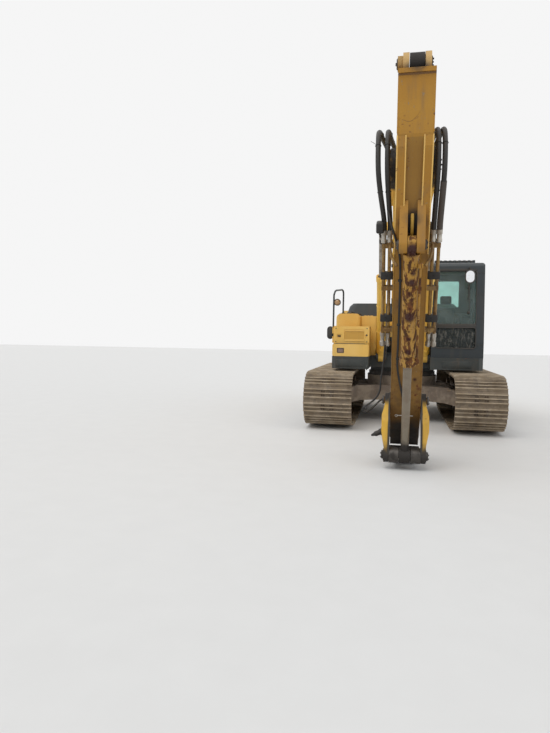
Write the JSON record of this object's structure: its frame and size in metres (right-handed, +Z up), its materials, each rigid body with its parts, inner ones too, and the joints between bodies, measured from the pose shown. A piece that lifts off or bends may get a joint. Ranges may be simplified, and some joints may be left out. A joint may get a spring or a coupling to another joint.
{
  "type": "crawler excavator",
  "caption": "Weathered yellow crawler excavator with dark cab, boom lowered and arm hanging, bucket linkage bare, tracks muddy.",
  "frame": {"origin": "middle of the bounding box in plan, on the ground under the tracks", "axes": "+Z up; front, boom and cab windscreen face -Y; +X towards the cab side, the machine's own left"},
  "size_m": [3.44, 9.87, 4.5685],
  "materials": {
    "paint_yellow": "weathered yellow-orange paint",
    "paint_dark": "dark blue-grey paint",
    "mud_steel": "steel caked with dry tan mud",
    "carbody_grey": "grey-brown muddy paint",
    "bare_steel": "worn dark steel",
    "cast_weight": "weathered yellow-orange paint over casting",
    "engine_iron": "dull dark iron",
    "chrome_rod": "dull chromed rod",
    "rust_ram": "yellow paint under dark red-brown rust",
    "greasy_steel": "dark greasy steel",
    "window_glass": "clear glass with a faint green tint",
    "seat_cloth": "dark seat cover",
    "black_plastic": "matt black plastic",
    "hose_rubber": "black rubber hose"
  },
  "bodies": {
    "undercarriage": {"carbody": "carbody_grey", "track_frame_left": "mud_steel", "track_frame_right": "mud_steel", "track_left": "mud_steel", "track_right": "mud_steel", "rollers_left": "bare_steel", "rollers_right": "bare_steel", "idlers": "bare_steel", "sprockets": "bare_steel", "swing_bearing": "bare_steel"},
    "upper": {"deck": "paint_dark", "towers": "paint_dark", "counterweight": "cast_weight", "engine_house": "paint_yellow", "engine_block": "engine_iron", "tanks": "paint_yellow", "tool_box": "paint_yellow", "step_box": "paint_yellow", "cab_shell": "paint_dark", "cab_glass": "window_glass", "cab_seat": "seat_cloth", "cab_console": "black_plastic", "handrails": "paint_dark", "mirrors": "black_plastic"},
    "boom": {"boom": "paint_yellow", "boom_pipes": "paint_yellow", "nose_hoses": "hose_rubber"},
    "arm": {"arm": "paint_yellow", "arm_pipes": "paint_yellow"},
    "side_links": {"side_links": "paint_yellow"},
    "cross_link": {"cross_link": "greasy_steel"},
    "boom_barrels": {"boom_ram_barrels": "paint_yellow"},
    "boom_rods": {"boom_ram_rods": "chrome_rod"},
    "arm_barrel": {"arm_ram_barrel": "paint_yellow"},
    "arm_rod": {"arm_ram_rod": "chrome_rod"},
    "bucket_barrel": {"bucket_ram_barrel": "rust_ram"},
    "bucket_rod": {"bucket_ram_rod": "chrome_rod"},
    "cab_door": {"cab_door": "paint_dark", "cab_door_glass": "window_glass"},
    "engine_hood": {"engine_hood": "paint_dark", "exhaust_pipe": "bare_steel"},
    "cooler_door": {"cooler_door": "paint_yellow"},
    "pump_door": {"pump_door": "paint_yellow"},
    "tool_box_door": {"tool_box_door": "paint_yellow"}
  },
  "joints": [
    {"name": "swing", "type": "hinge", "parent": "undercarriage", "child": "upper", "pos_m": [0, 1.62, 1], "axis": [0, 0, 1], "continuous": true},
    {"name": "boom_hinge", "type": "hinge", "parent": "upper", "child": "boom", "pos_m": [0, 1.47, 1.95], "axis": [-1, 0, 0], "range_deg": [-50, 37]},
    {"name": "arm_hinge", "type": "hinge", "parent": "boom", "child": "arm", "pos_m": [0, -4.33106, 3.55878], "axis": [1, 0, 0], "range_deg": [-80, 10], "deforming": ["nose_hoses"]},
    {"name": "link_hinge", "type": "hinge", "parent": "arm", "child": "side_links", "pos_m": [0, -3.29892, 0.84601], "axis": [1, 0, 0], "range_deg": [-70, 3]},
    {"name": "cross_link_hinge", "type": "hinge", "parent": "side_links", "child": "cross_link", "pos_m": [0, -3.58025, 0.18325], "axis": [-1, 0, 0], "range_deg": [0, 100]},
    {"name": "boom_barrel_hinge", "type": "hinge", "parent": "upper", "child": "boom_barrels", "pos_m": [0, 0.69, 1.29], "axis": [-1, 0, 0], "range_deg": [-52, 39]},
    {"name": "boom_rod_slide", "type": "slide", "parent": "boom_barrels", "child": "boom_rods", "axis": [0, -0.5868, 0.8098], "range_m": [-0.815, 0.605]},
    {"name": "arm_barrel_hinge", "type": "hinge", "parent": "boom", "child": "arm_barrel", "pos_m": [0, -1.12118, 4.13181], "axis": [-1, 0, 0], "range_deg": [-3, 2]},
    {"name": "arm_rod_slide", "type": "slide", "parent": "arm_barrel", "child": "arm_rod", "axis": [0, -0.9959, 0.0902], "range_m": [-1.296, 0.171]},
    {"name": "bucket_barrel_hinge", "type": "hinge", "parent": "arm", "child": "bucket_barrel", "pos_m": [0, -4.5515, 2.65919], "axis": [-1, 0, 0], "range_deg": [-1, 6]},
    {"name": "bucket_rod_slide", "type": "slide", "parent": "bucket_barrel", "child": "bucket_rod", "axis": [0, 0.3652, -0.9309], "range_m": [-0.812, 0.045]},
    {"name": "cab_door_hinge", "type": "hinge", "parent": "upper", "child": "cab_door", "pos_m": [1.483, 1.6765, 1.5], "axis": [0, 0, 1], "range_deg": [0, 165]},
    {"name": "hood_hinge", "type": "hinge", "parent": "upper", "child": "engine_hood", "pos_m": [0, 2.966, 2.104], "axis": [1, 0, 0], "range_deg": [0, 60]},
    {"name": "cooler_door_hinge", "type": "hinge", "parent": "upper", "child": "cooler_door", "pos_m": [1.483, 3.8965, 1.5], "axis": [0, 0, 1], "range_deg": [0, 100]},
    {"name": "pump_door_hinge", "type": "hinge", "parent": "upper", "child": "pump_door", "pos_m": [-1.483, 3.9115, 1.5], "axis": [0, 0, -1], "range_deg": [0, 100]},
    {"name": "tool_box_door_hinge", "type": "hinge", "parent": "upper", "child": "tool_box_door", "pos_m": [-1.317, 0.1975, 1.5], "axis": [0, 0, -1], "range_deg": [0, 100]}
  ],
  "couplings": [
    {"joint": "boom_barrel_hinge", "follows": "boom_hinge", "ratio": 1.0141},
    {"joint": "boom_rod_slide", "follows": "boom_hinge", "m_per_rad": 0.92172},
    {"joint": "arm_barrel_hinge", "follows": "arm_hinge", "ratio": 0.0197},
    {"joint": "arm_rod_slide", "follows": "arm_hinge", "m_per_rad": 0.92069},
    {"joint": "bucket_barrel_hinge", "follows": "link_hinge", "ratio": -0.0752},
    {"joint": "bucket_rod_slide", "follows": "link_hinge", "m_per_rad": 0.65581}
  ]
}
